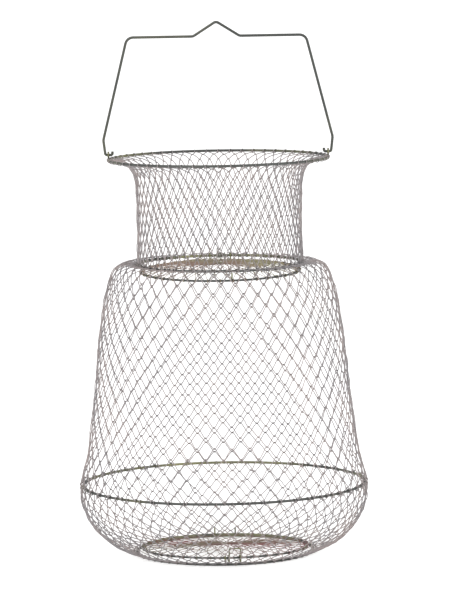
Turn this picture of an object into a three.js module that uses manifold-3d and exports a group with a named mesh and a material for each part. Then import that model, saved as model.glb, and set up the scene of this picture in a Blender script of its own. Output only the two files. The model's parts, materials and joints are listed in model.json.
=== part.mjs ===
// A folding wire trap: four wire rings joined by knitted wire netting, a bail handle, a sprung
// trapdoor in the neck and a second one, with a latch, in the base. Millimetres, +Z up, with the
// origin on the floor under the centre of the base ring. The hinges of both doors are at +Y.
//
// Each stretch of netting is made of courses: short conical bands whose walls keep clear of each
// other, so that they nest one inside the next when the rings are pushed together.
import * as THREE from "three";
import { mergeVertices } from "three/addons/utils/BufferGeometryUtils.js";
import Module from "manifold-3d";

const wasm = await Module();
wasm.setup();

// Driving dimensions.
const MOUTH_RING = { radius: 125.5, height: 454 };
const NECK_RING = { radius: 94.5, height: 333.5 };
const BELLY_RING = { radius: 162, height: 79.5 };
const BASE_RING = { radius: 101.5, height: 1.5 };
const RING_WIRE = 1.5; // radius of the wire, as are all the *_WIRE values
const DOOR_WIRE = 1.25;
const HOOK_WIRE = 0.9;
const LATCH_WIRE = 0.8;
const SPRING_WIRE = 0.7;
const EYE_WIRE = 1;
const NET_WALL = 1; // the netting's thickness, from one face to the other
const COURSE_STEP = 1.5; // how much wider each course of the body is than the one it takes in
const GAP = 0.3; // between pieces that touch without moving
const ROUND_STEPS = 48; // flats round a ring or a course of netting

// Handle: half-widths and heights of the bends of the bail.
const HANDLE = {
  pivotHeight: MOUTH_RING.height + RING_WIRE + GAP + 4.1,
  pinEnd: 120.8,
  tailHeight: 4,
  elbow: 128.9,
  legFoot: { x: 130.9, rise: 17 },
  corner: { x: 101.8, z: 592 },
  kink: 26.5,
  peak: 608.8,
};
const HANDLE_EYE = 3.1; // radius of the eye's centreline

// Doors: the ring's radius, how far its plane stands above the hinge, how it tips at rest, how far
// the middle of its netting stands above it, the tails of its hooks and the bearing of its stop.
const HOOK_SPREAD = 12; // from the middle of a door to each of its two hinge hooks
const NECK_DOOR = { radius: 91, lift: -5.5, tip: 1.7, crown: 8, tail: 6, stopTurn: 8 };
const BASE_DOOR = { radius: 94.5, lift: 2.5, tip: -1, crown: 3, tail: 8.5, stopTurn: 0 };
const SPRING = { turns: 4, pitch: 1.75, fixedLeg: 9, doorLeg: 24, rise: 5.2 };
const LATCH = { turn: 6, spread: 6.5, reach: 10.5, thumb: 12.5, drop: 0.4 };

// Netting: the middle of its wall, as points of radius and height, from the mouth down.
const NECK_COURSES = [
  [
    [123.5, 453.2],
    [114, 451.2],
    [105.5, 446.6],
    [100.4, 439.5],
    [98.8, 432],
    [98.8, 424],
  ],
  [
    [97.2, 423.6],
    [97.2, 394],
  ],
  [
    [95.6, 393.6],
    [95.6, 364],
  ],
  [
    [94, 363.6],
    [94, 335.8],
  ],
];
const BODY_COURSES = [
  [
    [97, 334.3],
    [108, 335],
    [117, 332],
    [124, 324.5],
    [128.5, 312],
    [132.3, 298],
  ],
  ...stackedCourses([
    [132.3, 297.6],
    [138.3, 261.6],
    [142.9, 225.3],
    [146.2, 189],
    [150.8, 152.6],
    [155.6, 116.2],
    [164.9, 81],
  ]),
];
const BASE_COURSES = [
  [
    [164.9, 78.6],
    [163.9, 64],
    [160.8, 52],
  ],
  [
    [159.2, 51.6],
    [154, 38.5],
    [145, 26.4],
  ],
  [
    [143.4, 26],
    [132, 15],
    [117.5, 6.6],
    [104.2, 2.4],
  ],
];

const STEEL = wireFinish("#8f8f76");
const NETTING = wireFinish("#8a8078");
const SPRING_STEEL = wireFinish("#a3a49a");

function wireFinish(color) {
  return new THREE.MeshStandardMaterial({ color, roughness: 0.38, metalness: 0.9 });
}

// The bands between neighbouring points of a profile. Each starts a little wider than the one
// above it ends, and ends a hair short of the next.
function stackedCourses(points) {
  const hair = 0.4;
  return points.slice(1).map(([radius, height], i) => {
    const [topRadius, top] = points[i];
    return [
      [topRadius + COURSE_STEP, top],
      [radius, height + hair],
    ];
  });
}

const piece = (name, geometry, material) => {
  const mesh = new THREE.Mesh(geometry, material);
  mesh.name = name;
  return mesh;
};

// A regular polygon with flats on its four main sides, so that wire rests on a face.
function wireSection(radius, sides) {
  const corner = radius / Math.cos(Math.PI / sides);
  return Array.from({ length: sides }, (_, i) => {
    const angle = ((i + 0.5) * 2 * Math.PI) / sides;
    return new THREE.Vector2(corner * Math.cos(angle), corner * Math.sin(angle));
  });
}

// A closed profile of (radius, height) points turned about the Z axis.
function turned(profile) {
  const geometry = new THREE.LatheGeometry([...profile, profile[0]], ROUND_STEPS);
  return geometry.rotateX(Math.PI / 2);
}

// A ring of wire that lies level, its centreline at the given radius and height.
function wireRing(radius, height, wire, sides = 8) {
  const place = new THREE.Vector2(radius, height);
  return turned(wireSection(wire, sides).map((point) => point.add(place)));
}

// A band of netting: the wall's middle line, thickened to both sides and turned.
function netBand(line) {
  const points = line.map(([radius, height]) => new THREE.Vector2(radius, height));
  const normals = points.map((_, i) => {
    const before = points[Math.max(i - 1, 0)];
    const after = points[Math.min(i + 1, points.length - 1)];
    const along = after.clone().sub(before).normalize();
    return new THREE.Vector2(-along.y, along.x);
  });
  const side = (sign) =>
    points.map((point, i) => point.clone().addScaledVector(normals[i], (sign * NET_WALL) / 2));
  return turned([...side(-1), ...side(1).reverse()]);
}

// A wire's route: stations that the section is swept through, each with its own direction.
class WireRoute extends THREE.Curve {
  constructor(stations) {
    super();
    this.stations = stations;
  }

  getPoint(t, target = new THREE.Vector3()) {
    const last = this.stations.length - 1;
    const at = Math.min(t * last, last);
    const from = Math.min(Math.floor(at + 1e-9), last - 1);
    return target.lerpVectors(this.stations[from], this.stations[from + 1], at - from);
  }

  getPointAt(t, target) {
    return this.getPoint(t, target);
  }

  getTangentAt(t, target = new THREE.Vector3()) {
    const last = this.stations.length - 1;
    const i = Math.round(t * last);
    const before = this.stations[Math.max(i - 1, 0)];
    const after = this.stations[Math.min(i + 1, last)];
    return target.subVectors(after, before).normalize();
  }
}

function wireAlong(stations, wire, sides = 6) {
  const shape = new THREE.Shape(wireSection(wire, sides));
  const extrudePath = new WireRoute(stations);
  const steps = stations.length - 1;
  return new THREE.ExtrudeGeometry(shape, { steps, extrudePath, bevelEnabled: false });
}

// Stations along straight runs between corners, each corner rounded to its own radius.
function roundedRoute(corners, stepAngle = Math.PI / 8) {
  const stations = [corners[0].at];
  for (let i = 1; i < corners.length - 1; i++) {
    const { at, bend } = corners[i];
    const into = corners[i - 1].at.clone().sub(at).normalize();
    const out = corners[i + 1].at.clone().sub(at).normalize();
    const turn = Math.PI - into.angleTo(out);
    const middle = into.clone().add(out).normalize();
    const centre = at.clone().addScaledVector(middle, bend / Math.cos(turn / 2));
    const start = into.clone().multiplyScalar(bend * Math.tan(turn / 2)).add(at).sub(centre);
    const axis = new THREE.Vector3().crossVectors(out, into).normalize();
    const steps = Math.max(2, Math.ceil(turn / stepAngle));
    for (let k = 0; k <= steps; k++) {
      stations.push(start.clone().applyAxisAngle(axis, (turn * k) / steps).add(centre));
    }
  }
  stations.push(corners.at(-1).at);
  return stations;
}

// A point in the plane X = x, from its Y and Z.
const inPlane = (x, y, z) => new THREE.Vector3(x, y, z);

// Stations on an arc in the plane X = x, with angles in radians counted from +Y towards +Z.
function arcInPlane(x, centre, radius, from, to) {
  const steps = Math.max(2, Math.ceil(Math.abs(to - from) / (Math.PI / 7)));
  return Array.from({ length: steps + 1 }, (_, i) => {
    const angle = from + ((to - from) * i) / steps;
    return inPlane(x, centre.y + radius * Math.cos(angle), centre.z + radius * Math.sin(angle));
  });
}

function solidOf(geometry) {
  const bare = new THREE.BufferGeometry();
  bare.setAttribute("position", geometry.toNonIndexed().getAttribute("position"));
  const merged = mergeVertices(bare, 1e-3);
  return new wasm.Manifold(
    new wasm.Mesh({
      numProp: 3,
      vertProperties: merged.attributes.position.array,
      triVerts: new Uint32Array(merged.index.array),
    }),
  );
}

// A geometry with boxes, given by two opposite corners each, cut out of it.
function notched(geometry, boxes) {
  let solid = solidOf(geometry.index ? geometry : mergeVertices(geometry));
  for (const [low, high] of boxes) {
    const box = new THREE.BoxGeometry(...high.map((value, i) => value - low[i]));
    box.translate(...high.map((value, i) => (value + low[i]) / 2));
    solid = solid.subtract(solidOf(box));
  }
  const mesh = solid.getMesh();
  const cut = new THREE.BufferGeometry();
  cut.setAttribute("position", new THREE.BufferAttribute(mesh.vertProperties, 3));
  cut.setIndex(new THREE.BufferAttribute(mesh.triVerts, 1));
  return cut;
}

// Where a ring's wire runs, straight across the two hinge hooks.
const hingeReach = (ring) => Math.sqrt(ring.radius ** 2 - HOOK_SPREAD ** 2);

// The room in a ring's netting for its door's hinge hooks, and for the spring between them.
function hingeNotches(ring, depth, springRoom) {
  const reach = hingeReach(ring);
  const hookRoom = HOOK_WIRE + 1;
  const places = [
    [-HOOK_SPREAD, hookRoom],
    [0, springRoom],
    [HOOK_SPREAD, hookRoom],
  ];
  return places
    .filter(([, room]) => room > 0)
    .map(([x, room]) => [
      [x - room, reach - depth, ring.height - depth],
      [x + room, reach + depth, ring.height + depth],
    ]);
}

// An S of wire: over the fixed ring at the origin, then under the door's ring, with a tail.
function hingeHook(x, doorRing, tail) {
  const fixedRing = { y: 0, z: 0 };
  const over = RING_WIRE + 0.4 + HOOK_WIRE;
  const under = DOOR_WIRE + GAP + HOOK_WIRE;
  const apart = Math.hypot(doorRing.y, doorRing.z);
  const leave = Math.atan2(doorRing.z, doorRing.y) - Math.acos((over + under) / apart);
  const turnOff = leave < 0 ? leave + 2 * Math.PI : leave;
  const hook = arcInPlane(x, fixedRing, over, 0, turnOff);
  const cradle = arcInPlane(x, doorRing, under, turnOff + Math.PI, Math.PI);
  const top = cradle.at(-1).clone().add(new THREE.Vector3(0, 0, tail));
  return wireAlong([...hook, ...cradle, top], HOOK_WIRE);
}

// The neck door's torsion spring, wound on the fixed ring, with a leg up against the neck.
function springCoil(ring) {
  const { turns, pitch, fixedLeg } = SPRING;
  const coil = RING_WIRE + 0.4 + SPRING_WIRE;
  const half = (turns * pitch) / 2;
  const perTurn = 12;
  const stations = [inPlane(-half, ring.radius + coil, ring.height + fixedLeg)];
  for (let i = 0; i <= turns * perTurn; i++) {
    const angle = -(2 * Math.PI * i) / perTurn;
    const x = -half + (pitch * i) / perTurn;
    const y = ring.radius + coil * Math.cos(angle);
    stations.push(inPlane(x, y, ring.height + coil * Math.sin(angle)));
  }
  return wireAlong(stations, SPRING_WIRE);
}

// The spring's other end, which turns with the door: over the ring, then in along the netting.
function springLeg(lift) {
  const { turns, pitch, doorLeg, rise } = SPRING;
  const x = (turns * pitch) / 2 + 2 * SPRING_WIRE + GAP;
  const wrap = arcInPlane(x, { y: 0, z: 0 }, RING_WIRE + 1.3 + SPRING_WIRE, 0, Math.PI);
  return wireAlong([...wrap, inPlane(x, -doorLeg, lift + rise)], SPRING_WIRE);
}

// A domed disc of netting inside a door's ring.
function doorNet({ radius, crown }) {
  const rim = radius - DOOR_WIRE - 0.8;
  const rise = (share) => crown * (1 - share * share);
  const shares = [0, 0.35, 0.7, 1];
  const skin = (offset) => shares.map((share) => new THREE.Vector2(rim * share, rise(share) + offset));
  const profile = [...skin(-NET_WALL / 2), ...skin(NET_WALL / 2).reverse()];
  return new THREE.LatheGeometry(profile, ROUND_STEPS).rotateX(Math.PI / 2);
}

// A door in the frame of its hinge: origin on the axis, door towards -Y.
function door(name, ring, size, frontNotches) {
  const hinge = hingeReach(ring);
  const back = Math.sqrt(size.radius ** 2 - HOOK_SPREAD ** 2);
  const doorRing = { y: back - hinge, z: size.lift };
  const clearance = 5.6;
  const hingeNotch = [
    [-HOOK_SPREAD - 2.5, back - clearance, -5],
    [HOOK_SPREAD + 2.5, size.radius + 5, 5],
  ];
  const level = new THREE.Group();
  level.position.set(0, -hinge, size.lift);
  const net = notched(doorNet(size), [hingeNotch, ...frontNotches]);
  level.add(piece(`${name}_ring`, wireRing(size.radius, 0, DOOR_WIRE, 6), STEEL));
  level.add(piece(`${name}_net`, net, NETTING));
  const group = new THREE.Group();
  group.add(level);
  group.add(piece(`${name}_hook_left`, hingeHook(-HOOK_SPREAD, doorRing, size.tail), STEEL));
  group.add(piece(`${name}_hook_right`, hingeHook(HOOK_SPREAD, doorRing, size.tail), STEEL));
  group.position.set(0, hinge, ring.height);
  group.rotation.x = THREE.MathUtils.degToRad(size.tip);
  return { group, level };
}

// A finger on a fixed ring that stops the door's front edge as its spring lifts it.
function doorStop(ring, size, from) {
  const tip = THREE.MathUtils.degToRad(size.tip);
  const hinge = hingeReach(ring);
  const front = { y: -size.radius - hinge, z: size.lift };
  const frontHeight = ring.height + front.y * Math.sin(tip) + front.z * Math.cos(tip);
  const arm = frontHeight + DOOR_WIRE + GAP + HOOK_WIRE;
  const inward = size.radius - 3.5;
  const finger = wireAlong(
    roundedRoute([
      { at: inPlane(0, -ring.radius, from) },
      { at: inPlane(0, -ring.radius, arm), bend: 1.4 },
      { at: inPlane(0, -inward, arm) },
    ]),
    HOOK_WIRE,
  );
  return finger.rotateZ(THREE.MathUtils.degToRad(size.stopTurn));
}

// The base door's latch: a U of wire with an eye round the door's ring at each end, which lies
// out over the base ring and turns up at its tip. The ring runs along X through the origin.
function latch() {
  const { spread, reach, thumb, drop } = LATCH;
  const eye = DOOR_WIRE + 0.8 + LATCH_WIRE;
  const curl = (x) => arcInPlane(x, { y: 0, z: 0 }, eye, Math.PI * 0.7, -Math.PI / 2);
  const side = (x) => [
    { at: inPlane(x, -reach, -eye - drop), bend: 1.5 },
    { at: inPlane(x, -reach - 1, thumb), bend: 1.8 },
  ];
  const left = curl(-spread);
  const right = curl(spread).reverse();
  const bow = [{ at: left.at(-1) }, ...side(-spread), ...side(spread).reverse(), { at: right[0] }];
  return wireAlong([...left.slice(0, -1), ...roundedRoute(bow), ...right.slice(1)], LATCH_WIRE);
}

// The bail: a pin at each end turns in its eye, and the top bar rises to a peak to hang from.
function handle() {
  const { pivotHeight, pinEnd, tailHeight, elbow, legFoot, corner, kink, peak } = HANDLE;
  const half = [
    { at: new THREE.Vector3(pinEnd, 0, pivotHeight + tailHeight) },
    { at: new THREE.Vector3(pinEnd, 0, pivotHeight), bend: 2 },
    { at: new THREE.Vector3(elbow, 0, pivotHeight), bend: 2.2 },
    { at: new THREE.Vector3(legFoot.x, 0, pivotHeight + legFoot.rise), bend: 8 },
    { at: new THREE.Vector3(corner.x, 0, corner.z), bend: 9 },
    { at: new THREE.Vector3(kink, 0, corner.z), bend: 6 },
  ];
  const mirrored = half.map(({ at, bend }) => ({ at: at.clone().setX(-at.x), bend })).reverse();
  const top = { at: new THREE.Vector3(0, 0, peak), bend: 5 };
  return wireAlong(roundedRoute([...half, top, ...mirrored]), RING_WIRE, 8);
}

// The ring of wire that a handle's pin turns in.
function handleEye(side) {
  const steps = 16;
  const profile = wireSection(EYE_WIRE, 6).map((point) => point.add(new THREE.Vector2(HANDLE_EYE, 0)));
  const eye = new THREE.LatheGeometry([...profile, profile[0]], steps).rotateZ(Math.PI / 2);
  return eye.translate(side * MOUTH_RING.radius, 0, HANDLE.pivotHeight);
}

const trap = new THREE.Group();

// The four rings.
for (const [name, ring] of Object.entries({
  mouth_ring: MOUTH_RING,
  neck_ring: NECK_RING,
  belly_ring: BELLY_RING,
  base_ring: BASE_RING,
})) {
  trap.add(piece(name, wireRing(ring.radius, ring.height, RING_WIRE), STEEL));
}

// The netting, numbered from the top of each stretch.
const neckRoom = hingeNotches(NECK_RING, 5.4, 6.4);
const room = {
  neck_netting_4: neckRoom,
  body_netting_1: neckRoom,
  base_netting_3: hingeNotches(BASE_RING, 5.2, 0),
};
for (const [stretch, courses] of Object.entries({
  neck_netting: NECK_COURSES,
  body_netting: BODY_COURSES,
  base_netting: BASE_COURSES,
})) {
  courses.forEach((line, i) => {
    const name = `${stretch}_${i + 1}`;
    const band = netBand(line);
    trap.add(piece(name, room[name] ? notched(band, room[name]) : band, NETTING));
  });
}

// The handle and its eyes.
trap.add(piece("handle", handle(), STEEL));
trap.add(piece("handle_eye_left", handleEye(-1), STEEL));
trap.add(piece("handle_eye_right", handleEye(1), STEEL));

// The neck door, with its spring.
const neckDoor = door("neck_door", NECK_RING, NECK_DOOR, []);
neckDoor.group.add(piece("neck_door_spring_leg", springLeg(NECK_DOOR.lift), SPRING_STEEL));
trap.add(neckDoor.group);
trap.add(piece("neck_door_spring", springCoil(NECK_RING), SPRING_STEEL));

// The base door, with its latch in a notch in the netting.
const latchTurn = THREE.MathUtils.degToRad(LATCH.turn);
const latchX = BASE_DOOR.radius * Math.sin(latchTurn);
const latchNotch = [
  [latchX - LATCH.spread - 3, -BASE_DOOR.radius - 5, -5],
  [latchX + LATCH.spread + 3, -BASE_DOOR.radius + 6.4, 5],
];
const baseDoor = door("base_door", BASE_RING, BASE_DOOR, [latchNotch]);
const baseLatch = piece("base_latch", latch(), STEEL);
baseLatch.position.set(latchX, -BASE_DOOR.radius * Math.cos(latchTurn), 0);
baseLatch.rotation.z = latchTurn;
baseDoor.level.add(baseLatch);
trap.add(baseDoor.group);

// The fingers that stop the doors.
const clear = RING_WIRE + GAP;
trap.add(piece("neck_door_stop", doorStop(NECK_RING, NECK_DOOR, NECK_RING.height - clear), STEEL));
trap.add(piece("base_door_stop", doorStop(BASE_RING, BASE_DOOR, BASE_RING.height + clear), STEEL));

export default trap;
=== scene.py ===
"""The looks of a folding wire trap: knitted wire netting, wire rings, doors and a bail handle.

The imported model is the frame. Rings and bent wires are rebuilt round, and each stretch of netting
is woven as hooked rows of zigzag wire over the profile that the frame's rings hold open.
"""

import json
import logging
import math
from dataclasses import dataclass
from enum import Enum
from typing import Union

import bpy
from mathutils import Matrix, Vector


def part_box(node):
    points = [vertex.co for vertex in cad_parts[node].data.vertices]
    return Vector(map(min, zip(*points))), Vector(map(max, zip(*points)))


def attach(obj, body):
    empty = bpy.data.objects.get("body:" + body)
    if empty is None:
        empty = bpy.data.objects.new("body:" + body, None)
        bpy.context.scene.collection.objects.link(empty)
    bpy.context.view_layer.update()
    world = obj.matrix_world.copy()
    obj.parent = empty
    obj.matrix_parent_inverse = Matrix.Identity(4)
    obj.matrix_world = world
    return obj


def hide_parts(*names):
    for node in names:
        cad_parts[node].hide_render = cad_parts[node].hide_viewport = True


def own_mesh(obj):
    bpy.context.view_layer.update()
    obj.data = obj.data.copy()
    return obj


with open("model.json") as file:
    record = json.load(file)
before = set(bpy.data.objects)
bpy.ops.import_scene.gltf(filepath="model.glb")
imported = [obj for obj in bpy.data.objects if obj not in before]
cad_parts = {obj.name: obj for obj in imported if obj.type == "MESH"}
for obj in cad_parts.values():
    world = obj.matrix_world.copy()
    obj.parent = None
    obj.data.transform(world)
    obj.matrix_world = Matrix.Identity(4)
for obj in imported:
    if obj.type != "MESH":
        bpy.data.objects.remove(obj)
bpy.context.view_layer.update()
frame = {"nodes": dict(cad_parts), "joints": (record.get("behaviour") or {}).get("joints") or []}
LOG = logging.getLogger("wire_trap")

Point = tuple[float, float]
Colour = tuple[float, float, float]
Value = Union[bpy.types.NodeSocket, float, int, str, tuple]

# The average colour of a noise texture.
NOISE_MIDDLE = (0.5, 0.5, 0.5)
# Flats round the wire of the netting and of its lacing.
WIRE_SIDES = 5


class Ring(Enum):
    """The four wire rings, by the CAD node that holds each one's place."""

    MOUTH = "mouth_ring"
    NECK = "neck_ring"
    BELLY = "belly_ring"
    BASE = "base_ring"

    def radius(self) -> float:
        """Radius of the ring's centreline."""
        low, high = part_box(self.value)
        return (high.x - low.x) / 2 - self.wire()

    def height(self) -> float:
        """Height of the ring's centreline."""
        low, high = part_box(self.value)
        return (high.z + low.z) / 2

    def wire(self) -> float:
        """Radius of the ring's wire."""
        low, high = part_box(self.value)
        return (high.z - low.z) / 2

    def body(self) -> str:
        """The body that the ring belongs to."""
        return self.name.lower()


@dataclass(frozen=True)
class WireFinish:
    """A finish of drawn steel wire, with a second tone that drifts over it in patches and, on the rings,
    gathers towards +Y as painted sheen.

    Attributes:
        name: The material's name.
        slot: The record's material slot. Not used.
        tone: The main colour.
        patch_and_sheen: The second colour, in soft patches; on the rings it is also painted sheen, and on the
            bail painted highlight.
        patch: How many patches there are to a metre.
        roughness: The smoothest and the roughest parts.
        grain: Height of the drawing marks, in metres.
        metallic: How much of it is bare metal.
        rear_painted_sheen: Painted sheen: how much the second colour gains with each metre towards +Y, so the
            far side is painted lighter.
        onset: Where in the patches, from 0 to 1, the second colour begins.
        fade: How much further into the patches it is complete.
        marks: How many drawing marks there are to a metre.
        relief: Strength of the drawing marks.
    """

    name: str
    slot: str
    tone: Colour
    patch_and_sheen: Colour
    patch: float
    roughness: tuple[float, float]
    grain: float
    metallic: float = 0.9
    rear_painted_sheen: float = 0.0
    onset: float = 0.38
    fade: float = 0.26
    marks: float = 900.0
    relief: float = 0.4

    def material(self) -> bpy.types.Material:
        """The material, made once.

        Returns:
            The node-based material.
        """
        if self.name in bpy.data.materials:
            return bpy.data.materials[self.name]
        material = bpy.data.materials.new(self.name)
        material.use_nodes = True
        nodes, links = material.node_tree.nodes, material.node_tree.links
        shader = nodes["Principled BSDF"]
        shader.inputs["Metallic"].default_value = self.metallic
        place = nodes.new("ShaderNodeTexCoord")

        patches = nodes.new("ShaderNodeTexNoise")
        patches.inputs["Scale"].default_value = self.patch
        patches.inputs["Detail"].default_value = 3
        links.new(place.outputs["Object"], patches.inputs["Vector"])
        ramp = nodes.new("ShaderNodeValToRGB")
        ramp.color_ramp.elements[0].position = self.onset
        ramp.color_ramp.elements[0].color = (*self.tone, 1)
        ramp.color_ramp.elements[1].position = self.onset + self.fade
        ramp.color_ramp.elements[1].color = (*self.patch_and_sheen, 1)
        # Painted sheen: the share of the second colour grows with Y, so the far side of a piece is painted
        # lighter.
        parts = nodes.new("ShaderNodeSeparateXYZ")
        links.new(place.outputs["Object"], parts.inputs["Vector"])
        share = nodes.new("ShaderNodeMath")
        share.operation = "MULTIPLY_ADD"
        share.inputs[1].default_value = self.rear_painted_sheen
        links.new(parts.outputs["Y"], share.inputs[0])
        links.new(patches.outputs["Fac"], share.inputs[2])
        links.new(share.outputs[0], ramp.inputs["Fac"])
        links.new(ramp.outputs["Color"], shader.inputs["Base Color"])

        marks = nodes.new("ShaderNodeTexNoise")
        marks.inputs["Scale"].default_value = self.marks
        marks.inputs["Detail"].default_value = 2
        links.new(place.outputs["Object"], marks.inputs["Vector"])
        spread = nodes.new("ShaderNodeMapRange")
        spread.inputs["To Min"].default_value = self.roughness[0]
        spread.inputs["To Max"].default_value = self.roughness[1]
        links.new(marks.outputs["Fac"], spread.inputs["Value"])
        links.new(spread.outputs["Result"], shader.inputs["Roughness"])
        bump = nodes.new("ShaderNodeBump")
        bump.inputs["Strength"].default_value = self.relief
        bump.inputs["Distance"].default_value = self.grain
        links.new(marks.outputs["Fac"], bump.inputs["Height"])
        links.new(bump.outputs["Normal"], shader.inputs["Normal"])
        return material


class Finish(Enum):
    """The finishes on the trap."""

    # Painted sheen: the lighter olive second colour is gathered onto the far half of each ring, while the
    # front stays dark.
    RING = WireFinish(
        "chromated_ring_wire_and_painted_sheen", "steel", (0.09, 0.093, 0.088), (0.27, 0.265, 0.15), 13, (0.4, 0.58), 4e-5,
        rear_painted_sheen=1.0, onset=0.5,
    )
    # Partly painted highlight: the bail's dark chromate tone and its lighter second colour are lightened to
    # stand in for highlights on its bars.
    BAIL = WireFinish(
        "chromated_bail_wire_and_painted_highlight", "steel", (0.078, 0.082, 0.077), (0.15, 0.148, 0.10), 13, (0.44, 0.6), 4e-5,
        rear_painted_sheen=1.0, onset=0.5,
    )
    FITTING = WireFinish(
        "chromated_fittings", "steel", (0.22, 0.215, 0.12), (0.13, 0.13, 0.09), 60, (0.35, 0.5), 3e-5
    )
    NET = WireFinish(
        "knitted_net_wire", "netting", (0.27, 0.255, 0.262), (0.36, 0.31, 0.30), 22, (0.34, 0.55), 2e-5, 0.8
    )
    NECK_DOOR_NET = WireFinish(
        "neck_door_net_wire", "netting", (0.28, 0.255, 0.16), (0.29, 0.195, 0.165), 14, (0.36, 0.6), 2e-5, 0.8
    )
    BASE_DOOR_NET = WireFinish(
        "base_door_net_wire", "netting", (0.21, 0.18, 0.135), (0.25, 0.12, 0.12), 17, (0.36, 0.6), 2e-5, 0.8
    )
    SPRING = WireFinish(
        "spring_wire", "spring_steel", (0.22, 0.22, 0.20), (0.30, 0.29, 0.25), 50, (0.2, 0.35), 2e-5
    )


class Graph:
    """A Geometry Nodes tree under construction, with its named inputs."""

    KINDS = {
        "GEOMETRY": "NodeSocketGeometry",
        "FLOAT": "NodeSocketFloat",
        "INT": "NodeSocketInt",
        "MATERIAL": "NodeSocketMaterial",
    }

    def __init__(self, name: str, **inputs: str) -> None:
        """Starts the tree.

        Args:
            name: The tree's name.
            inputs: Each input's name and kind, one of KINDS.
        """
        self.tree = bpy.data.node_groups.new(name, "GeometryNodeTree")
        self.sockets = {
            label: self.tree.interface.new_socket(label, in_out="INPUT", socket_type=self.KINDS[kind])
            for label, kind in inputs.items()
        }
        self.tree.interface.new_socket("Geometry", in_out="OUTPUT", socket_type="NodeSocketGeometry")
        self.entry = self.tree.nodes.new("NodeGroupInput")

    def input(self, label: str) -> bpy.types.NodeSocket:
        """The socket that gives an input's value inside the tree."""
        return self.entry.outputs[label]

    def identifier(self, label: str) -> str:
        """The key of an input on a modifier."""
        return self.sockets[label].identifier

    def node(self, kind: str, inputs: dict, **settings: str | bool) -> bpy.types.Node:
        """Adds a node.

        Args:
            kind: Its type, without the GeometryNode or ShaderNode before it.
            inputs: Its inputs by name or number, each a socket or a value.
            settings: Its own properties.

        Returns:
            The node.
        """
        node = self.tree.nodes.new(kind)
        for label, value in settings.items():
            setattr(node, label, value)
        for label, value in inputs.items():
            socket = self._enabled(node.inputs, label)
            if isinstance(value, bpy.types.NodeSocket):
                self.tree.links.new(value, socket)
            else:
                socket.default_value = value
        return node

    @staticmethod
    def _enabled(sockets: bpy.types.bpy_prop_collection, label: str | int) -> bpy.types.NodeSocket:
        """The socket that the node's settings have switched on.

        Args:
            sockets: A node's inputs or outputs.
            label: The socket's name, or its number.

        Returns:
            The socket.
        """
        if isinstance(label, int):
            return sockets[label]
        return next(socket for socket in sockets if socket.name == label and socket.enabled)

    def out(self, node: bpy.types.Node, label: str) -> bpy.types.NodeSocket:
        """A node's output by name."""
        return self._enabled(node.outputs, label)

    def math(self, operation: str, *values: Value) -> bpy.types.NodeSocket:
        """A Math node on up to three values."""
        node = self.node("ShaderNodeMath", dict(enumerate(values)), operation=operation)
        return node.outputs[0]

    def mix(self, low: Value, high: Value, share: Value) -> bpy.types.NodeSocket:
        """low where share is 0, high where it is 1."""
        step = self.math("SUBTRACT", high, low)
        return self.math("MULTIPLY_ADD", step, share, low)

    def point(self, x: Value, y: Value, z: Value) -> bpy.types.NodeSocket:
        """A vector from its three parts."""
        return self.node("ShaderNodeCombineXYZ", {"X": x, "Y": y, "Z": z}).outputs[0]

    def parts(self, vector: bpy.types.NodeSocket) -> bpy.types.NodeSocket:
        """The three parts of a vector."""
        return self.node("ShaderNodeSeparateXYZ", {"Vector": vector}).outputs

    def vector(self, operation: str, *values: Value) -> bpy.types.NodeSocket:
        """A Vector Math node on up to two vectors."""
        node = self.node("ShaderNodeVectorMath", dict(enumerate(values)), operation=operation)
        return node.outputs[0]

    def round_wire(self, curve: bpy.types.NodeSocket) -> bpy.types.NodeSocket:
        """Gives a curve the round section that the inputs Wire and Sides state.

        Args:
            curve: The centrelines.

        Returns:
            The wires' surface.
        """
        section = self.node(
            "GeometryNodeCurvePrimitiveCircle",
            {"Resolution": self.input("Sides"), "Radius": self.input("Wire")},
        )
        sweep = self.node(
            "GeometryNodeCurveToMesh",
            {"Curve": curve, "Profile Curve": section.outputs[0], "Fill Caps": True},
        )
        smooth = self.node("GeometryNodeSetShadeSmooth", {"Geometry": sweep.outputs[0]})
        return smooth.outputs[0]

    def finish(self, geometry: bpy.types.NodeSocket) -> "Graph":
        """Ends the tree: real geometry, in the material that the input Material names.

        Args:
            geometry: What the tree has made.

        Returns:
            The graph itself.
        """
        real = self.node("GeometryNodeRealizeInstances", {"Geometry": geometry})
        dressed = self.node(
            "GeometryNodeSetMaterial",
            {"Geometry": real.outputs[0], "Material": self.input("Material")},
        )
        exit_node = self.tree.nodes.new("NodeGroupOutput")
        self.tree.links.new(dressed.outputs[0], exit_node.inputs[0])
        return self

    def run(self, name: str, route: "Route", finish: WireFinish, **values: float) -> bpy.types.Object:
        """Runs the tree on a route and keeps the result as a plain mesh.

        Args:
            name: The piece's name.
            route: The line that the tree works on.
            finish: What the piece is made of.
            values: The tree's other inputs.

        Returns:
            The piece, at the origin.
        """
        holder = bpy.data.objects.new(f"{name}_route", route.mesh(name))
        bpy.context.scene.collection.objects.link(holder)
        modifier = holder.modifiers.new("weave", "NODES")
        modifier.node_group = self.tree
        modifier[self.identifier("Material")] = finish.material()
        for label, value in values.items():
            modifier[self.identifier(label)] = value
        made = holder.evaluated_get(bpy.context.evaluated_depsgraph_get())
        mesh = bpy.data.meshes.new_from_object(made)
        mesh.name = name
        bpy.data.objects.remove(holder)
        piece = bpy.data.objects.new(name, mesh)
        bpy.context.scene.collection.objects.link(piece)
        LOG.info("%s: %d faces", name, len(mesh.polygons))
        return piece


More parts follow.
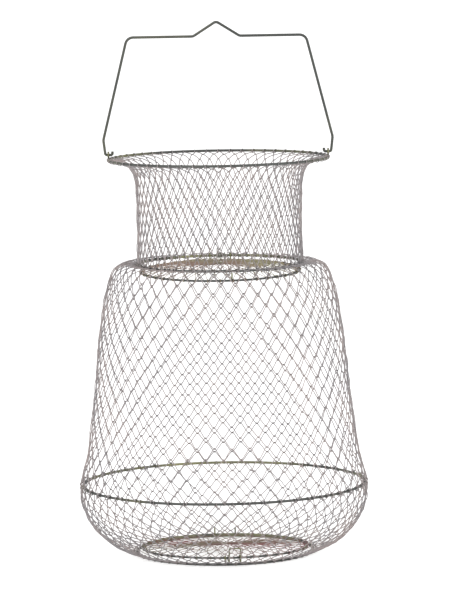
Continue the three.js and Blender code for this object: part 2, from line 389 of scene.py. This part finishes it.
class Route:
    """A line of points in space, open or closed."""

    def __init__(self, points: list[Vector], closed: bool = False) -> None:
        """Keeps the line's points in order."""
        self.points = points
        self.closed = closed

    def mesh(self, name: str) -> bpy.types.Mesh:
        """The line as a mesh of edges.

        Args:
            name: The name of the piece that it is for.

        Returns:
            The mesh.
        """
        mesh = bpy.data.meshes.new(f"{name}_route")
        last = len(self.points)
        edges = [(i, i + 1) for i in range(last - 1)] + ([(last - 1, 0)] if self.closed else [])
        mesh.from_pydata(self.points, edges, [])
        return mesh

    @staticmethod
    def bent(corners: list[tuple[Vector, float]], step: float = math.pi / 14) -> "Route":
        """Straight runs between corners, each corner rounded to its own radius.

        Args:
            corners: Each corner and its bend radius. The two ends have no bend.
            step: The turn between neighbouring points in a bend.

        Returns:
            The route.
        """
        points = [corners[0][0]]
        for (before, _), (at, bend), (after, _) in zip(corners, corners[1:], corners[2:]):
            into, out = (before - at).normalized(), (after - at).normalized()
            turn = math.pi - into.angle(out)
            middle = (into + out).normalized()
            centre = at + middle * bend / math.cos(turn / 2)
            start = into * bend * math.tan(turn / 2) + at - centre
            end = out * bend * math.tan(turn / 2) + at - centre
            steps = max(2, math.ceil(turn / step))
            points += [Route._on_arc(start, end, i / steps) + centre for i in range(steps + 1)]
        points.append(corners[-1][0])
        return Route(points)

    @staticmethod
    def _on_arc(start: Vector, end: Vector, share: float) -> Vector:
        """The point a share of the way round the arc between two spokes of equal length.

        Args:
            start: The first spoke.
            end: The last spoke.
            share: How far round, from 0 to 1.

        Returns:
            The spoke there.
        """
        angle = start.angle(end)
        if angle < 1e-6:
            return start.lerp(end, share)
        whole = math.sin(angle)
        return start * (math.sin((1 - share) * angle) / whole) + end * (math.sin(share * angle) / whole)

    @staticmethod
    def profile(points: list[Point], steps: int = 12) -> "Route":
        """A smooth line through points of radius and height, in the plane of X and Z.

        Args:
            points: The points, from one end to the other.
            steps: How many pieces each span is cut into.

        Returns:
            The route.
        """
        line = [Vector((x, 0, z)) for x, z in points]
        ends = [line[0] * 2 - line[1], *line, line[-1] * 2 - line[-2]]
        smooth = []
        for a, b, c, d in zip(ends, ends[1:], ends[2:], ends[3:]):
            for i in range(steps):
                t = i / steps
                square = (2 * a - 5 * b + 4 * c - d) * t**2
                cube = (3 * b - a - 3 * c + d) * t**3
                smooth.append(0.5 * (2 * b + (c - a) * t + square + cube))
        return Route([*smooth, line[-1]])


def ring_graph(unevenness: float = 9.0) -> Graph:
    """A ring of wire, a little out of true, on the route's one point.

    Args:
        unevenness: How many waves there are to a metre.

    Returns:
        The tree.
    """
    graph = Graph(
        "wire_ring", Geometry="GEOMETRY", Radius="FLOAT", Height="FLOAT", Wire="FLOAT", Sides="INT",
        Steps="INT", Waviness="FLOAT", Seed="FLOAT", Material="MATERIAL",
    )
    circle = graph.node(
        "GeometryNodeCurvePrimitiveCircle",
        {"Resolution": graph.input("Steps"), "Radius": graph.input("Radius")},
    )
    place = graph.node("GeometryNodeInputPosition", {}).outputs[0]
    noise = graph.node(
        "ShaderNodeTexNoise",
        {"Vector": place, "W": graph.input("Seed"), "Scale": unevenness, "Detail": 0.0},
        noise_dimensions="4D",
    )
    centred = graph.vector("SUBTRACT", graph.out(noise, "Color"), NOISE_MIDDLE)
    wave = graph.node(
        "ShaderNodeVectorMath", {0: centred, "Scale": graph.input("Waviness")}, operation="SCALE"
    ).outputs[0]
    lift = graph.point(0.0, 0.0, graph.input("Height"))
    moved = graph.node(
        "GeometryNodeSetPosition",
        {"Geometry": circle.outputs[0], "Offset": graph.vector("ADD", wave, lift)},
    )
    return graph.finish(graph.round_wire(moved.outputs[0]))


def bent_wire_graph() -> Graph:
    """A round wire along a route.

    Returns:
        The tree.
    """
    graph = Graph("bent_wire", Geometry="GEOMETRY", Wire="FLOAT", Sides="INT", Material="MATERIAL")
    curve = graph.node("GeometryNodeMeshToCurve", {"Mesh": graph.input("Geometry")})
    return graph.finish(graph.round_wire(curve.outputs[0]))


def lacing_graph() -> Graph:
    """Small closed loops of wire that hold the netting to a ring.

    Each loop is an oval in the ring's own cross-section, tilted towards the netting. There are none
    within the input Gap, an angle to either side of +Y, where a door is hinged.

    Returns:
        The tree.
    """
    graph = Graph(
        "ring_lacing", Geometry="GEOMETRY", Radius="FLOAT", Height="FLOAT", Count="INT", Turn="FLOAT",
        Gap="FLOAT", Long="FLOAT", Short="FLOAT", Shift="FLOAT", Tilt="FLOAT", Skew="FLOAT", Wire="FLOAT",
        Sides="INT", Material="MATERIAL",
    )
    loop = graph.node("GeometryNodeCurvePrimitiveCircle", {"Resolution": 10, "Radius": 1.0})
    x, y, _ = graph.parts(graph.node("GeometryNodeInputPosition", {}).outputs[0])
    along = graph.math("MULTIPLY_ADD", x, graph.input("Long"), graph.input("Shift"))
    across = graph.math("MULTIPLY", y, graph.input("Short"))
    out = graph.math("COSINE", graph.input("Tilt"))
    up = graph.math("SINE", graph.input("Tilt"))
    radial = graph.math("SUBTRACT", graph.math("MULTIPLY", along, out), graph.math("MULTIPLY", across, up))
    height = graph.math("ADD", graph.math("MULTIPLY", along, up), graph.math("MULTIPLY", across, out))
    sideways = graph.math("MULTIPLY", along, graph.input("Skew"))
    oval = graph.node(
        "GeometryNodeSetPosition",
        {"Geometry": loop.outputs[0], "Position": graph.point(radial, sideways, height)},
    )
    wire = graph.round_wire(oval.outputs[0])
    stations = graph.node(
        "GeometryNodeMeshCircle", {"Vertices": graph.input("Count"), "Radius": graph.input("Radius")}
    )
    index = graph.node("GeometryNodeInputIndex", {}).outputs[0]
    share = graph.math("DIVIDE", graph.math("ADD", index, graph.input("Turn")), graph.input("Count"))
    angle = graph.math("MULTIPLY", share, math.tau)
    from_hinge = graph.math("ABSOLUTE", graph.math("SUBTRACT", angle, math.pi / 2))
    marked = graph.node(
        "GeometryNodeStoreNamedAttribute",
        {"Geometry": stations.outputs[0], "Name": "bearing", "Value": angle},
        data_type="FLOAT", domain="POINT",
    )
    named = graph.node("GeometryNodeInputNamedAttribute", {"Name": "bearing"}, data_type="FLOAT")
    bearing = graph.out(named, "Attribute")
    kept = graph.node(
        "GeometryNodeDeleteGeometry",
        {"Geometry": marked.outputs[0], "Selection": graph.math("LESS_THAN", from_hinge, graph.input("Gap"))},
        domain="POINT",
    )
    on_ring = graph.node(
        "GeometryNodeSetPosition",
        {
            "Geometry": kept.outputs[0],
            "Position": graph.point(
                graph.math("MULTIPLY", graph.math("COSINE", bearing), graph.input("Radius")),
                graph.math("MULTIPLY", graph.math("SINE", bearing), graph.input("Radius")),
                graph.input("Height"),
            ),
        },
    )
    loops = graph.node(
        "GeometryNodeInstanceOnPoints",
        {"Points": on_ring.outputs[0], "Instance": wire, "Rotation": graph.point(0.0, 0.0, bearing)},
    )
    return graph.finish(loops.outputs[0])


class NettingTree:
    """Hooked rows of zigzag wire, woven round the Z axis over a profile.

    Every row's lower bends hook round the upper bends of the row below. One leg of each zigzag
    runs in front and the other behind, so the wires pass each other where they cross. STEEPNESS is
    how suddenly a leg goes from front to back, CROWDING how much the points gather at the bends,
    DENTS how many dents there are to a metre, and 1 / EDGE_SHARE the strip at each edge that stays true.
    """

    STEEPNESS = 3.2
    CROWDING = 0.75
    DENTS = 55.0
    EDGE_SHARE = 12.0

    def __init__(self) -> None:
        """Builds the tree."""
        graph = Graph(
            "hooked_netting", Geometry="GEOMETRY", Rows="INT", Cells="INT", Steps="INT", Turn="FLOAT",
            Hook="FLOAT", Depth="FLOAT", Roundness="FLOAT", Jitter="FLOAT", Seed="FLOAT", Wire="FLOAT",
            Sides="INT", Material="MATERIAL",
        )
        self.graph = graph
        row, phase, angle = self._places()
        rows = self.rows
        reach = self._along(row, phase)
        profile = graph.node("GeometryNodeMeshToCurve", {"Mesh": graph.input("Geometry")})
        sample = graph.node(
            "GeometryNodeSampleCurve",
            {"Curves": profile.outputs[0], "Factor": reach},
            mode="FACTOR", data_type="FLOAT", use_all_curves=True,
        )
        radius, _, height = graph.parts(graph.out(sample, "Position"))
        tangent = graph.parts(graph.out(sample, "Tangent"))
        swing = graph.math("SINE", graph.math("MULTIPLY", phase, math.tau))
        steep = graph.math("MULTIPLY", swing, self.STEEPNESS)
        clipped = graph.math("MAXIMUM", graph.math("MINIMUM", steep, 1.0), -1.0)
        depth = graph.math("MULTIPLY", clipped, graph.input("Depth"))
        radius = graph.math("SUBTRACT", radius, graph.math("MULTIPLY", depth, tangent[2]))
        height = graph.math("MULTIPLY_ADD", depth, tangent[0], height)
        place = graph.point(
            graph.math("MULTIPLY", graph.math("COSINE", angle), radius),
            graph.math("MULTIPLY", graph.math("SINE", angle), radius),
            height,
        )
        woven = graph.node(
            "GeometryNodeSetPosition",
            {"Geometry": rows, "Position": graph.vector("ADD", place, self._jitter(place, reach))},
        )
        graph.finish(graph.round_wire(woven.outputs[0]))

    def _places(self) -> tuple[bpy.types.NodeSocket, bpy.types.NodeSocket, bpy.types.NodeSocket]:
        """Makes one closed line a row.

        Returns:
            Each point's row number, its phase in the zigzag and its angle round the axis.
        """
        graph = self.graph
        points = graph.math("MULTIPLY", graph.input("Cells"), graph.input("Steps"))
        circle = graph.node("GeometryNodeCurvePrimitiveCircle", {"Resolution": points, "Radius": 1.0})
        copies = graph.node(
            "GeometryNodeDuplicateElements",
            {"Geometry": circle.outputs[0], "Amount": graph.input("Rows")},
            domain="SPLINE",
        )
        stored = graph.node(
            "GeometryNodeStoreNamedAttribute",
            {"Geometry": copies.outputs[0], "Name": "row", "Value": graph.out(copies, "Duplicate Index")},
            data_type="FLOAT", domain="CURVE",
        )
        self.rows = stored.outputs[0]
        named = graph.node("GeometryNodeInputNamedAttribute", {"Name": "row"}, data_type="FLOAT")
        row = graph.out(named, "Attribute")
        index = graph.out(graph.node("GeometryNodeSplineParameter", {}), "Index")
        even = graph.math("DIVIDE", index, graph.input("Steps"))
        cell = graph.math("FLOOR", even)
        inside = graph.math("SUBTRACT", even, cell)
        crowd = graph.math("SINE", graph.math("MULTIPLY", inside, 2 * math.tau))
        phase = graph.math("MULTIPLY_ADD", crowd, -self.CROWDING / (2 * math.tau), inside)
        half = graph.math("MULTIPLY", graph.math("MODULO", row, 2.0), 0.5)
        start = graph.math("ADD", half, graph.input("Turn"))
        whole = graph.math("ADD", graph.math("ADD", cell, phase), start)
        angle = graph.math("MULTIPLY", graph.math("DIVIDE", whole, graph.input("Cells")), math.tau)
        return row, phase, angle

    def _along(self, row: bpy.types.NodeSocket, phase: bpy.types.NodeSocket) -> bpy.types.NodeSocket:
        """How far down the profile each point lies, as a share of its length.

        Args:
            row: The row's number.
            phase: Where in the zigzag the point is.

        Returns:
            The share.
        """
        graph = self.graph
        straight = graph.math("PINGPONG", graph.math("MULTIPLY", phase, 2.0), 1.0)
        cosine = graph.math("COSINE", graph.math("MULTIPLY", phase, math.tau))
        soft = graph.math("MULTIPLY_ADD", cosine, -0.5, 0.5)
        fall = graph.mix(straight, soft, graph.input("Roundness"))
        stretch = graph.math("MULTIPLY_ADD", graph.input("Hook"), 2.0, 1.0)
        start = graph.math("SUBTRACT", row, graph.input("Hook"))
        in_rows = graph.math("ADD", graph.math("MULTIPLY", fall, stretch), start)
        share = graph.math("DIVIDE", in_rows, graph.input("Rows"))
        return graph.math("MAXIMUM", graph.math("MINIMUM", share, 1.0), 0.0)

    def _jitter(self, place: bpy.types.NodeSocket, reach: bpy.types.NodeSocket) -> bpy.types.NodeSocket:
        """The unevenness of hand-drawn netting, the same for both wires at a hook.

        Args:
            place: The point's even place.
            reach: Its share of the way down. The two edges stay true.

        Returns:
            How far to move it.
        """
        graph = self.graph
        noise = graph.node(
            "ShaderNodeTexNoise",
            {"Vector": place, "W": graph.input("Seed"), "Scale": self.DENTS, "Detail": 1.0},
            noise_dimensions="4D",
        )
        centred = graph.vector("SUBTRACT", graph.out(noise, "Color"), NOISE_MIDDLE)
        edge = graph.math("MINIMUM", reach, graph.math("SUBTRACT", 1.0, reach))
        room = graph.math("MINIMUM", graph.math("MULTIPLY", edge, self.EDGE_SHARE), 1.0)
        size = graph.math("MULTIPLY", room, graph.input("Jitter"))
        return graph.node("ShaderNodeVectorMath", {0: centred, "Scale": size}, operation="SCALE").outputs[0]


@dataclass
class Workshop:
    """The trees that every sub-assembly shares, and the gauges of wire.

    Attributes:
        net_wire: Radius of the netting's wire.
        ring_sides: Flats round a ring's wire.
        ring_steps: Straight pieces round a ring.
        waviness: How far a ring is out of true.
    """

    net_wire: float = 0.00055
    ring_sides: int = 12
    ring_steps: int = 180
    waviness: float = 0.0006

    def __post_init__(self) -> None:
        """Builds the trees."""
        self.ring_tree = ring_graph()
        self.wire_tree = bent_wire_graph()
        self.lacing_tree = lacing_graph()
        self.netting_tree = NettingTree().graph

    def ring(
        self, name: str, radius: float, height: float, wire: float, finish: WireFinish, seed: float
    ) -> bpy.types.Object:
        """A ring of wire.

        Args:
            name: The piece's name.
            radius: Radius of its centreline.
            height: Height of its centreline.
            wire: Radius of the wire.
            finish: What it is made of.
            seed: Which way it is out of true.

        Returns:
            The ring.
        """
        return self.ring_tree.run(
            name, Route([Vector()]), finish, Radius=radius, Height=height, Wire=wire, Sides=self.ring_sides,
            Steps=self.ring_steps, Waviness=self.waviness, Seed=seed,
        )

    def bent_wire(self, name: str, route: Route, wire: float, finish: WireFinish) -> bpy.types.Object:
        """A bent wire along a route."""
        return self.wire_tree.run(name, route, finish, Wire=wire, Sides=self.ring_sides)

    def netting(
        self, name: str, profile: Route, rows: int, cells: int, finish: WireFinish, **values: float
    ) -> bpy.types.Object:
        """Netting over a profile.

        Args:
            name: The piece's name.
            profile: The line it is turned from.
            rows: Rows of zigzag wire.
            cells: Zigzags round each row.
            finish: What it is made of.
            values: Inputs of the tree that differ from the usual.

        Returns:
            The netting.
        """
        usual = {
            "Steps": 12, "Turn": 0.0, "Hook": 0.07, "Depth": 0.0006, "Roundness": 0.25, "Jitter": 0.0034,
            "Wire": self.net_wire, "Sides": WIRE_SIDES,
        }
        return self.netting_tree.run(name, profile, finish, Rows=rows, Cells=cells, **(usual | values))


@dataclass
class RingSet:
    """The four rings that hold the netting open, and the loops that lace it to them.

    Attributes:
        cells: Loops round a ring for the body's netting, one for each zigzag.
        fine_cells: Loops round a ring for the neck's and the base's netting.
        loop_wire: Radius of the loops' wire.
        loop_room: The gap between the loops' wire and the ring's.
        loop_reach: How much further the loops go towards the netting.
        loop_skew: How far the loops lean round the ring, for each metre outward.
        seed_step: What sets each ring's unevenness apart from the last one's.
        hinge_gap: Half the angle at the back that a door's hinge takes up.
        sleeve_bearing: Where the crimped sleeve on the belly ring's joint is.
        sleeve: The sleeve's radius and half its angle.
    """

    cells: int = 48
    fine_cells: int = 56
    loop_wire: float = 0.00045
    loop_room: float = 0.0001
    loop_reach: float = 0.0022
    loop_skew: float = 0.25
    seed_step: float = 7.3
    hinge_gap: float = 0.17
    sleeve_bearing: float = 0.2
    sleeve: Point = (0.0021, 0.045)

    def build(self, shop: Workshop) -> None:
        """Makes the rings and their lacing.

        Args:
            shop: The shared trees.
        """
        for number, ring in enumerate(Ring):
            piece = shop.ring(
                f"{ring.value}_wire", ring.radius(), ring.height(), ring.wire(), Finish.RING.value,
                number * self.seed_step,
            )
            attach(piece, ring.body())
            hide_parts(ring.value)
        lacings = {
            "mouth_lacing": (Ring.MOUTH, self.fine_cells, -2.75, 0.0, 0.0),
            "neck_lacing_up": (Ring.NECK, self.fine_cells, 1.5, 0.0, self.hinge_gap),
            "neck_lacing_out": (Ring.NECK, self.cells, 0.15, 0.5, self.hinge_gap),
            "belly_lacing_up": (Ring.BELLY, self.cells, 0.55, 0.0, 0.0),
            "belly_lacing_down": (Ring.BELLY, self.fine_cells, -0.55, 0.5, 0.0),
            "base_lacing": (Ring.BASE, self.fine_cells, 0.35, 0.0, self.hinge_gap),
        }
        for name, (ring, cells, tilt, turn, gap) in lacings.items():
            self._lace(shop, name, ring, cells, tilt, turn, gap)
        self._sleeve(shop)

    def _sleeve(self, shop: Workshop) -> None:
        """The crimped sleeve over the two ends of the belly ring's wire.

        Args:
            shop: The shared trees.
        """
        radius, half = self.sleeve
        angles = [self.sleeve_bearing + half * share for share in (-1, -0.8, -0.4, 0, 0.4, 0.8, 1)]
        reach, height = Ring.BELLY.radius(), Ring.BELLY.height()
        line = [Vector((reach * math.cos(angle), reach * math.sin(angle), height)) for angle in angles]
        sleeve = shop.bent_wire("belly_ring_sleeve", Route(line), radius, Finish.RING.value)
        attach(sleeve, Ring.BELLY.body())

    def _lace(
        self, shop: Workshop, name: str, ring: Ring, cells: int, tilt: float, turn: float, gap: float
    ) -> None:
        """Loops round one ring.

        Args:
            shop: The shared trees.
            name: The piece's name.
            ring: The ring.
            cells: The number of loops.
            tilt: The angle, above the level, in which the netting leaves the ring.
            turn: How far round the loops start, in cells.
            gap: The angle to either side of the hinge that has no loops.
        """
        clear = ring.wire() + self.loop_wire + self.loop_room
        shift = self.loop_reach / 2
        piece = shop.lacing_tree.run(
            name, Route([Vector()]), Finish.NET.value, Radius=ring.radius(), Height=ring.height(),
            Count=cells, Turn=turn, Gap=gap, Long=clear + shift, Short=clear, Shift=shift, Tilt=tilt,
            Skew=self.loop_skew, Wire=self.loop_wire, Sides=WIRE_SIDES,
        )
        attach(piece, ring.body())


@dataclass
class Netting:
    """The three stretches of netting between the rings.

    Attributes:
        cells: Zigzags round each row of the body.
        fine_cells: Zigzags round each row of the neck and the base.
        edge: How far from a ring's centreline the netting starts.
        belly_edge: The same, round the outside of the belly ring.
    """

    cells: int = 48
    fine_cells: int = 56
    edge: float = 0.0027
    belly_edge: float = 0.0026

    def build(self, shop: Workshop) -> None:
        """Makes the three stretches.

        Args:
            shop: The shared trees.
        """
        finish = Finish.NET.value
        neck = shop.netting("neck_net", self._neck(), 12, self.fine_cells, finish, Seed=1.0)
        self._fold(neck, "neck", "neck_fold", Ring.NECK, Ring.MOUTH)
        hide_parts(*[f"neck_netting_{i}" for i in range(1, 5)])
        body = shop.netting("body_net", self._body(), 23, self.cells, finish, Turn=0.5, Seed=5.0)
        self._fold(body, "belly", "body_fold", Ring.BELLY, Ring.NECK)
        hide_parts(*[f"body_netting_{i}" for i in range(1, 8)])
        base = shop.netting("base_net", self._base(), 11, self.fine_cells, finish, Turn=0.5, Seed=9.0)
        self._fold(base, "base", "base_fold", Ring.BASE, Ring.BELLY)
        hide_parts(*[f"base_netting_{i}" for i in range(1, 4)])

    def _fold(self, net: bpy.types.Object, body: str, fold: str, low: Ring, high: Ring) -> None:
        """Puts a stretch of netting on the body it rides on, with a mesh of its own, after reading how far
        its fold brings the two rings together.

        Args:
            net: The netting.
            body: The body it rides on.
            fold: The joint that brings the rings together.
            low: The ring under it.
            high: The ring above it.
        """
        joint = next(entry for entry in frame["joints"] if entry["name"] == fold)
        travel = -joint["range_m"][0]
        keep = 1 - travel / (high.height() - low.height())
        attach(net, body)
        low.height()
        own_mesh(net)

    def _neck(self) -> Route:
        """The neck: a flare under the mouth ring, then a straight tube.

        Returns:
            The profile, from the top down.
        """
        top, low = Ring.MOUTH.height(), Ring.NECK.height()
        tube = Ring.NECK.radius()
        return Route.profile([
            (Ring.MOUTH.radius() - self.edge, top - 0.0011),
            (tube + 0.0185, top - 0.0028),
            (tube + 0.0098, top - 0.0066),
            (tube + 0.0045, top - 0.0120),
            (tube + 0.0014, top - 0.0195),
            (tube, top - 0.0300),
            (tube - 0.0008, top - 0.0600),
            (tube - 0.0008, top - 0.0900),
            (tube, low + self.edge),
        ])

    def _body(self) -> Route:
        """The body: a level shoulder, then a side that widens to the belly ring.

        Returns:
            The profile, from the top down.
        """
        top, low = Ring.NECK.height(), Ring.BELLY.height()
        return Route.profile([
            (Ring.NECK.radius() + self.edge, top + 0.0004),
            (0.1080, top + 0.0013),
            (0.1170, top - 0.0015),
            (0.1240, top - 0.0090),
            (0.1285, top - 0.0215),
            (0.1323, top - 0.0355),
            (0.1383, top - 0.0715),
            (0.1427, top - 0.1080),
            (0.1460, top - 0.1445),
            (0.1505, top - 0.1805),
            (0.1555, top - 0.2170),
            (0.1615, top - 0.2390),
            (Ring.BELLY.radius() + self.belly_edge, low + 0.0014),
        ])

    def _base(self) -> Route:
        """The base: a bowl from the belly ring down to the base ring.

        Returns:
            The profile, from the top down.
        """
        low = Ring.BASE.height()
        return Route.profile([
            (Ring.BELLY.radius() + self.belly_edge, Ring.BELLY.height() - 0.0014),
            (0.1642, low + 0.0625),
            (0.1610, low + 0.0500),
            (0.1548, low + 0.0375),
            (0.1455, low + 0.0250),
            (0.1325, low + 0.0135),
            (0.1170, low + 0.0050),
            (Ring.BASE.radius() + self.edge, low + 0.0008),
        ])


@dataclass
class Bail:
    """The handle: a wire bail with bent-in pins, round corners and a peak to hang from.

    Attributes:
        wire: Radius of the wire.
        pin: Half the distance between the pins' ends.
        tail: How far the pins' ends are turned up, so that they stay in the eyes.
        elbow: Half-width at the elbows.
        foot: Half-width and rise of the point where each leg turns straight.
        corner: Half-width at the top corners, and how far they are below the peak.
        kink: Half-width of the peak.
    """

    wire: float = 0.0015
    pin: float = 0.1208
    tail: float = 0.004
    elbow: float = 0.1289
    foot: Point = (0.1309, 0.017)
    corner: Point = (0.1018, 0.0168)
    kink: float = 0.0265

    def build(self, shop: Workshop) -> None:
        """Makes the handle.

        Args:
            shop: The shared trees.
        """
        pivot = next(entry for entry in frame["joints"] if entry["name"] == "handle_swing")["pos_m"][2]
        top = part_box("handle")[1].z + 0.001
        half = [
            (Vector((self.pin, 0, pivot + self.tail)), 0),
            (Vector((self.pin, 0, pivot)), 0.002),
            (Vector((self.elbow, 0, pivot)), 0.0022),
            (Vector((self.foot[0], 0, pivot + self.foot[1])), 0.008),
            (Vector((self.corner[0], 0, top - self.corner[1])), 0.009),
            (Vector((self.kink, 0, top - self.corner[1])), 0.006),
        ]
        other = [(Vector((-at.x, 0, at.z)), bend) for at, bend in reversed(half)]
        route = Route.bent([*half, (Vector((0, 0, top)), 0.005), *other])
        bail = shop.bent_wire("bail_handle", route, self.wire, Finish.BAIL.value)
        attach(bail, "handle")
        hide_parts("handle")


@dataclass
class Door:
    """A round door: a wire ring filled with netting that is gathered in the middle.

    Attributes:
        name: The CAD body and the start of its nodes' names.
        cells: Zigzags round the netting.
        rows: Rows from the rim to the middle.
        crown: How far the middle stands above the ring.
        flatness: The power in the crown's curve. The larger, the flatter its top.
        billow: How far its front half bellies up, and its back half sinks.
        billow_span: Distance from the middle at which the billow is nearly full.
        eyelet: Radius of the ring of wire that gathers the middle, and that of its wire.
        wire: Radius of the door ring's wire.
        rim_gap: Distance from the ring's wire to the edge of the netting.
        net_wire: Radius of the netting's wire.
        hinge_gap: Half the angle at the back that the hinge takes up.
        lean: 1 where the hinged side stands higher, -1 where it stands lower.
        seed: The unevenness of its netting.
        finish: What the netting is made of.
    """

    name: str
    cells: int = 40
    rows: int = 5
    crown: float = 0.003
    flatness: float = 2.0
    billow: float = 0.003
    billow_span: float = 0.04
    eyelet: Point = (0.006, 0.0006)
    wire: float = 0.00125
    rim_gap: float = 0.0009
    net_wire: float = 0.00034
    hinge_gap: float = 0.2
    lean: int = -1
    seed: float = 2.0
    finish: WireFinish = Finish.BASE_DOOR_NET.value

    def build(self, shop: Workshop) -> None:
        """Makes the door's ring, its netting and the eyelet in the middle.

        Args:
            shop: The shared trees.
        """
        low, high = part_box(f"{self.name}_ring")
        rise = high.z - low.z - 2 * self.wire
        radius = (high.x - low.x) / 2 - self.wire
        tip = math.asin(rise / (2 * radius)) * self.lean
        centre = Vector((0, (low.y + high.y) / 2, (low.z + high.z) / 2))
        LOG.info("%s: radius %.4f, tipped %.2f degrees", self.name, radius, math.degrees(tip))
        ring = shop.ring(f"{self.name}_rim", radius, 0.0, self.wire, Finish.RING.value, self.seed)
        rim = radius - self.wire - self.rim_gap
        profile = Route.profile([
            (rim + (self.eyelet[0] - rim) * share, self.crown * (1 - (1 - share) ** self.flatness))
            for share in (0, 0.1, 0.2, 0.3, 0.4, 0.6, 0.8, 1)
        ])
        net = shop.netting(
            f"{self.name}_mesh", profile, self.rows, self.cells, self.finish, Seed=self.seed,
            Wire=self.net_wire,
        )
        eyelet = shop.ring(
            f"{self.name}_eyelet", self.eyelet[0], self.crown, self.eyelet[1], Finish.FITTING.value, self.seed
        )
        lacing = shop.lacing_tree.run(
            f"{self.name}_lacing", Route([Vector()]), self.finish, Radius=radius, Height=0.0,
            Count=self.cells, Turn=0.0, Gap=self.hinge_gap, Long=0.0024, Short=0.0018, Shift=-0.0006,
            Tilt=0.0, Skew=0.2, Wire=0.00045, Sides=WIRE_SIDES,
        )
        turn = (math.cos(tip), math.sin(tip))
        for piece in (ring, net, eyelet, lacing):
            for vertex in piece.data.vertices:
                x, y, z = vertex.co
                inside = max(0.0, 1 - (x * x + y * y) / rim**2)
                z -= self.billow * inside * math.tanh(y / self.billow_span)
                vertex.co = (x, y * turn[0] - z * turn[1] + centre.y, y * turn[1] + z * turn[0] + centre.z)
            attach(piece, self.name)
        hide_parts(f"{self.name}_ring")
        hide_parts(f"{self.name}_net")


@dataclass
class Fittings:
    """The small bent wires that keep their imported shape: eyes, hinge hooks, springs, stops, latch.

    Attributes:
        levels: How many times their surfaces are rounded.
        merge: Distance within which corners are joined.
    """

    levels: int = 2
    merge: float = 1e-5

    def build(self) -> None:
        """Rounds and dresses each fitting that no piece has replaced."""
        for name, node in frame["nodes"].items():
            if node.hide_render:
                continue
            finish = Finish.SPRING.value if "spring" in name else Finish.FITTING.value
            weld = node.modifiers.new("weld", "WELD")
            weld.merge_threshold = self.merge
            rounding = node.modifiers.new("round", "SUBSURF")
            rounding.levels = rounding.render_levels = self.levels
            node.data.materials.clear()
            node.data.materials.append(finish.material())
            for face in node.data.polygons:
                face.use_smooth = True
                face.material_index = 0
            LOG.info("%s: kept and rounded", name)


@dataclass
class Studio:
    """A pale floor, soft light and the camera.

    Attributes:
        distance: From the camera to the trap's axis.
        height: The camera's height above the floor.
        aim: The point that the picture is centred on.
        lens: Focal length in millimetres.
        roll: How far the camera leans, in degrees.
    """

    distance: float = 4.77
    height: float = 0.797
    aim: tuple[float, float, float] = (0.0065, 0.0, 0.291)
    lens: float = 251.0
    roll: float = -1.0

    def build(self) -> None:
        """Makes the floor, the light and the camera."""
        self._floor()
        self._lights()
        data = bpy.data.cameras.new("camera")
        data.lens = self.lens
        data.clip_end = 100
        camera = bpy.data.objects.new("camera", data)
        bpy.context.scene.collection.objects.link(camera)
        camera.location = (self.aim[0], -self.distance, self.height)
        look = (Vector(self.aim) - camera.location).to_track_quat("-Z", "Y").to_matrix().to_4x4()
        camera.rotation_euler = (look @ Matrix.Rotation(math.radians(self.roll), 4, "Z")).to_euler()
        bpy.context.scene.camera = camera
        bpy.context.scene.view_settings.view_transform = "Standard"

    def _floor(self, size: float = 40) -> None:
        """A plain pale floor that runs out of sight.

        Args:
            size: Half its width.
        """
        mesh = bpy.data.meshes.new("floor")
        corners = [(-size, -size, 0), (size, -size, 0), (size, size, 0), (-size, size, 0)]
        mesh.from_pydata(corners, [], [(0, 1, 2, 3)])
        floor = bpy.data.objects.new("floor", mesh)
        floor.location.z = -0.0002
        bpy.context.scene.collection.objects.link(floor)
        material = bpy.data.materials.new("floor")
        material.use_nodes = True
        shader = material.node_tree.nodes["Principled BSDF"]
        shader.inputs["Base Color"].default_value = (0.97, 0.97, 0.97, 1)
        shader.inputs["Roughness"].default_value = 0.9
        shader.inputs["Emission Color"].default_value = (1, 1, 1, 1)
        shader.inputs["Emission Strength"].default_value = 0.25
        mesh.materials.append(material)

    def _lights(self) -> None:
        """Two large soft lights and a white surround."""
        world = bpy.data.worlds.new("surround")
        world.use_nodes = True
        world.node_tree.nodes["Background"].inputs["Color"].default_value = (1, 1, 1, 1)
        world.node_tree.nodes["Background"].inputs["Strength"].default_value = 1.0
        bpy.context.scene.world = world
        for name, place, size, power in (
            ("key", (-2.2, -2.6, 3.2), 1.6, 60),
            ("fill", (2.6, -2.0, 1.6), 1.8, 25),
        ):
            data = bpy.data.lights.new(name, "AREA")
            data.size, data.energy = size, power
            lamp = bpy.data.objects.new(name, data)
            lamp.location = place
            lamp.rotation_euler = (Vector((0, 0, 0.3)) - Vector(place)).to_track_quat("-Z", "Y").to_euler()
            bpy.context.scene.collection.objects.link(lamp)


def main() -> None:
    """Builds the trap, piece by piece, and the studio round it."""
    logging.basicConfig(level=logging.INFO, format="%(message)s")
    shop = Workshop()
    RingSet().build(shop)
    Netting().build(shop)
    Bail().build(shop)
    Door(
        "neck_door", crown=0.0088, flatness=3.4, billow=0.0028, billow_span=0.07, lean=1,
        finish=Finish.NECK_DOOR_NET.value,
    ).build(shop)
    Door("base_door", cells=36, seed=4.0).build(shop)
    Fittings().build()
    Studio().build()


if __name__ == "__main__":
    main()
